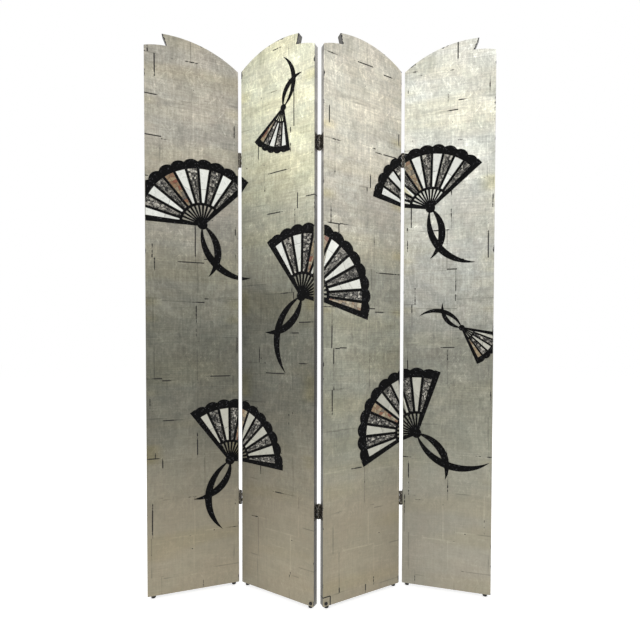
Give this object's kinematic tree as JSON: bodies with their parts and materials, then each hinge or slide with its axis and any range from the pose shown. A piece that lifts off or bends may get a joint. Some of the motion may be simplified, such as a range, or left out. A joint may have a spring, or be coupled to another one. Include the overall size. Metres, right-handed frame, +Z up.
{
  "type": "folding screen",
  "caption": "Zigzag folding screen of hinged silver-leafed panels with arched, toothed tops and inlaid fan ornament, used as a room divider.",
  "frame": {"origin": "on the floor, under the middle of the open screen's box", "axes": "+X along the screen to the viewer's right, -Y out of its front, +Z up"},
  "size_m": [1.2702, 0.175, 2.0497],
  "materials": {
    "silver_leaf": "silver leaf on gessoed board, satin, toned and rubbed",
    "black_lacquer": "raised black lacquer composition, glossy",
    "mirror_mosaic": "cut mirror and white glass, polished",
    "slate_mosaic": "dark stone chips with pale veins, polished",
    "amber_mosaic": "tan and russet chips, glazed",
    "bronze": "dark bronze patina, satin",
    "bronze_pin": "dark bronze, worn",
    "bronze_screw": "dark bronze, oiled",
    "dark_steel": "blackened steel"
  },
  "bodies": {
    "panel_1": {"left_lower_hinge_leaf_1": "bronze", "left_lower_hinge_pin": "bronze_pin", "left_lower_hinge_screws_1": "bronze_screw", "left_upper_hinge_leaf_1": "bronze", "left_upper_hinge_pin": "bronze_pin", "left_upper_hinge_screws_1": "bronze_screw", "panel_1_amber_blades": "amber_mosaic", "panel_1_board": "silver_leaf", "panel_1_glides": "dark_steel", "panel_1_mirror_blades": "mirror_mosaic", "panel_1_outlines": "black_lacquer", "panel_1_slate_blades": "slate_mosaic"},
    "panel_2": {"left_lower_hinge_leaf_2": "bronze", "left_lower_hinge_screws_2": "bronze_screw", "left_upper_hinge_leaf_2": "bronze", "left_upper_hinge_screws_2": "bronze_screw", "middle_lower_hinge_leaf_2": "bronze", "middle_lower_hinge_pin": "bronze_pin", "middle_lower_hinge_screws_2": "bronze_screw", "middle_upper_hinge_leaf_2": "bronze", "middle_upper_hinge_pin": "bronze_pin", "middle_upper_hinge_screws_2": "bronze_screw", "panel_2_amber_blades": "amber_mosaic", "panel_2_board": "silver_leaf", "panel_2_glides": "dark_steel", "panel_2_mirror_blades": "mirror_mosaic", "panel_2_outlines": "black_lacquer", "panel_2_slate_blades": "slate_mosaic", "panel_2_stud": "dark_steel"},
    "panel_3": {"middle_lower_hinge_leaf_3": "bronze", "middle_lower_hinge_screws_3": "bronze_screw", "middle_upper_hinge_leaf_3": "bronze", "middle_upper_hinge_screws_3": "bronze_screw", "panel_3_amber_blades": "amber_mosaic", "panel_3_board": "silver_leaf", "panel_3_glides": "dark_steel", "panel_3_mirror_blades": "mirror_mosaic", "panel_3_outlines": "black_lacquer", "panel_3_slate_blades": "slate_mosaic", "panel_3_stud": "dark_steel", "right_lower_hinge_leaf_3": "bronze", "right_lower_hinge_pin": "bronze_pin", "right_lower_hinge_screws_3": "bronze_screw", "right_upper_hinge_leaf_3": "bronze", "right_upper_hinge_pin": "bronze_pin", "right_upper_hinge_screws_3": "bronze_screw"},
    "panel_4": {"panel_4_amber_blades": "amber_mosaic", "panel_4_board": "silver_leaf", "panel_4_glides": "dark_steel", "panel_4_mirror_blades": "mirror_mosaic", "panel_4_outlines": "black_lacquer", "panel_4_slate_blades": "slate_mosaic", "right_lower_hinge_leaf_4": "bronze", "right_lower_hinge_screws_4": "bronze_screw", "right_upper_hinge_leaf_4": "bronze", "right_upper_hinge_screws_4": "bronze_screw"}
  },
  "joints": [
    {"name": "left_fold", "type": "hinge", "parent": "panel_2", "child": "panel_1", "pos_m": [-0.31247, 0.06602, 1], "axis": [0, 0, 1], "range_deg": [-45.3, 134.7]},
    {"name": "middle_fold", "type": "hinge", "parent": "panel_2", "child": "panel_3", "pos_m": [-0.00313, -0.06789, 1], "axis": [0, 0, 1], "range_deg": [-54.8, 125.2]},
    {"name": "right_fold", "type": "hinge", "parent": "panel_3", "child": "panel_4", "pos_m": [0.30896, 0.05951, 1], "axis": [0, 0, -1], "range_deg": [-41.1, 138.9]}
  ]
}
